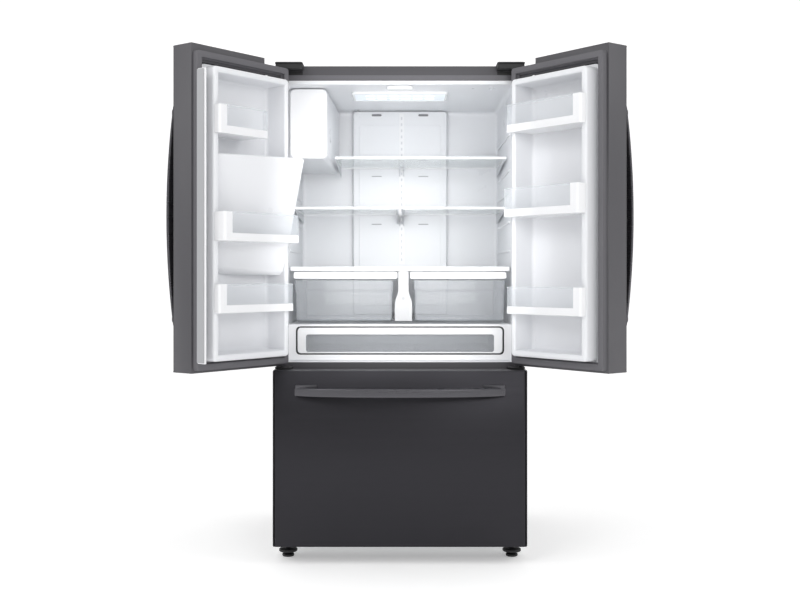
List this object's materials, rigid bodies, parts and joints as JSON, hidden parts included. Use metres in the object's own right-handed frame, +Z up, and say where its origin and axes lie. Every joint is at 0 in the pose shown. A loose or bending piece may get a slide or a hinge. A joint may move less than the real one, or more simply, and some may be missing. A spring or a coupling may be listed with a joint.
{
  "type": "french door refrigerator",
  "caption": "Free-standing french door refrigerator: two hinged doors with bins and a water and ice dispenser, over a pull-out freezer drawer.",
  "frame": {"origin": "middle of the footprint with the doors open, on the floor", "axes": "+Z up, the front faces -Y, +X to the right of a person who faces the front"},
  "size_m": [1.5918, 1.192, 1.802],
  "materials": {
    "graphite_steel": "satin",
    "zinc_steel": "satin",
    "black_plastic": "matte",
    "black_steel": "satin",
    "dark_rubber": "matte",
    "white_plastic": "gloss",
    "grey_plastic": "satin",
    "clear_plastic": "gloss",
    "shelf_glass": "gloss",
    "fin_aluminium": "satin"
  },
  "bodies": {
    "cabinet": {"outer_case": "graphite_steel", "back_panel": "zinc_steel", "base_pan": "zinc_steel", "fresh_food_liner": "white_plastic", "freezer_liner": "white_plastic", "pantry_housing": "white_plastic", "ice_maker_housing": "white_plastic", "evaporator_cover": "white_plastic", "evaporator_coil": "fin_aluminium", "light_lens": "clear_plastic", "mullion_guide": "grey_plastic", "top_shelf": "shelf_glass", "middle_shelf_left": "shelf_glass", "middle_shelf_right": "shelf_glass", "crisper_cover": "clear_plastic", "freezer_rail_left": "zinc_steel", "freezer_rail_right": "zinc_steel", "top_hinge_left": "zinc_steel", "top_hinge_right": "zinc_steel", "hinge_cover_left": "black_plastic", "hinge_cover_right": "black_plastic", "mid_hinge_left": "black_steel", "mid_hinge_right": "black_steel", "compressor": "black_steel", "condenser": "fin_aluminium", "machine_cover": "zinc_steel"},
    "left_door": {"left_door_panel": "graphite_steel", "left_door_liner": "white_plastic", "left_door_gasket": "dark_rubber", "left_door_handle": "graphite_steel", "left_door_bin_top": "clear_plastic", "left_door_bin_middle": "clear_plastic", "left_door_bin_bottom": "clear_plastic", "dispenser_housing": "black_plastic"},
    "right_door": {"right_door_panel": "graphite_steel", "right_door_liner": "white_plastic", "right_door_gasket": "dark_rubber", "right_door_handle": "graphite_steel", "right_door_bin_top": "clear_plastic", "right_door_bin_middle": "clear_plastic", "right_door_bin_bottom": "clear_plastic"},
    "freezer_drawer": {"freezer_drawer_front": "graphite_steel", "freezer_drawer_liner": "white_plastic", "freezer_drawer_gasket": "dark_rubber", "freezer_handle": "graphite_steel", "freezer_basket": "clear_plastic"},
    "mullion": {"mullion_flap": "grey_plastic"},
    "paddle": {"dispenser_lever": "black_plastic"},
    "upper_freezer_tray": {"freezer_tray": "clear_plastic"},
    "left_crisper": {"crisper_left": "clear_plastic"},
    "right_crisper": {"crisper_right": "clear_plastic"},
    "pantry": {"pantry_drawer": "clear_plastic"},
    "ice_bin": {"ice_bucket": "white_plastic"},
    "ice_mould": {"ice_tray": "grey_plastic"},
    "cold_air_fan": {"evaporator_fan": "black_plastic"},
    "cooling_fan": {"condenser_fan": "black_plastic"},
    "left_leg": {"front_leg_left": "black_plastic"},
    "right_leg": {"front_leg_right": "black_plastic"},
    "left_roller": {"rear_roller_left": "black_plastic"},
    "right_roller": {"rear_roller_right": "black_plastic"}
  },
  "joints": [
    {"name": "left_door_hinge", "type": "hinge", "parent": "cabinet", "child": "left_door", "pos_m": [-0.438, -0.20402, 1.25], "axis": [0, 0, -1], "range_deg": [-128, 0]},
    {"name": "right_door_hinge", "type": "hinge", "parent": "cabinet", "child": "right_door", "pos_m": [0.438, -0.20402, 1.25], "axis": [0, 0, 1], "range_deg": [-128, 0]},
    {"name": "mullion_fold", "type": "hinge", "parent": "left_door", "child": "mullion", "pos_m": [-0.6621, -0.57208, 1.224], "axis": [0, 0, 1], "range_deg": [-90, 0]},
    {"name": "dispenser_press", "type": "hinge", "parent": "left_door", "child": "paddle", "pos_m": [-0.58086, -0.35764, 1.274], "axis": [-0.6157, -0.788, 0], "range_deg": [0, 12], "stiffness_Nm_per_rad": 0.05},
    {"name": "freezer_drawer_slide", "type": "slide", "parent": "cabinet", "child": "freezer_drawer", "axis": [0, -1, 0], "range_m": [0, 0.42]},
    {"name": "freezer_tray_slide", "type": "slide", "parent": "freezer_drawer", "child": "upper_freezer_tray", "axis": [0, 1, 0], "range_m": [0, 0.2]},
    {"name": "left_crisper_slide", "type": "slide", "parent": "cabinet", "child": "left_crisper", "axis": [0, -1, 0], "range_m": [0, 0.19]},
    {"name": "right_crisper_slide", "type": "slide", "parent": "cabinet", "child": "right_crisper", "axis": [0, -1, 0], "range_m": [0, 0.19]},
    {"name": "pantry_slide", "type": "slide", "parent": "cabinet", "child": "pantry", "axis": [0, -1, 0], "range_m": [0, 0.35]},
    {"name": "ice_bucket_slide", "type": "slide", "parent": "cabinet", "child": "ice_bin", "axis": [0, -1, 0], "range_m": [0, 0.12]},
    {"name": "ice_tray_twist", "type": "hinge", "parent": "cabinet", "child": "ice_mould", "pos_m": [-0.338, 0.23798, 1.65], "axis": [0, 1, 0], "range_deg": [0, 160]},
    {"name": "evaporator_fan_spin", "type": "hinge", "parent": "cabinet", "child": "cold_air_fan", "pos_m": [0, 0.49998, 1.42], "axis": [0, 1, 0], "continuous": true},
    {"name": "condenser_fan_spin", "type": "hinge", "parent": "cabinet", "child": "cooling_fan", "pos_m": [0, 0.46298, 0.14], "axis": [1, 0, 0], "continuous": true},
    {"name": "left_leg_screw", "type": "hinge", "parent": "cabinet", "child": "left_leg", "pos_m": [-0.41, -0.15202, 0.028], "axis": [0, 0, 1], "continuous": true},
    {"name": "left_roller_spin", "type": "hinge", "parent": "cabinet", "child": "left_roller", "pos_m": [-0.4, 0.47798, 0.019], "axis": [1, 0, 0], "continuous": true},
    {"name": "right_leg_screw", "type": "hinge", "parent": "cabinet", "child": "right_leg", "pos_m": [0.41, -0.15202, 0.028], "axis": [0, 0, 1], "continuous": true},
    {"name": "right_roller_spin", "type": "hinge", "parent": "cabinet", "child": "right_roller", "pos_m": [0.4, 0.47798, 0.019], "axis": [1, 0, 0], "continuous": true}
  ]
}
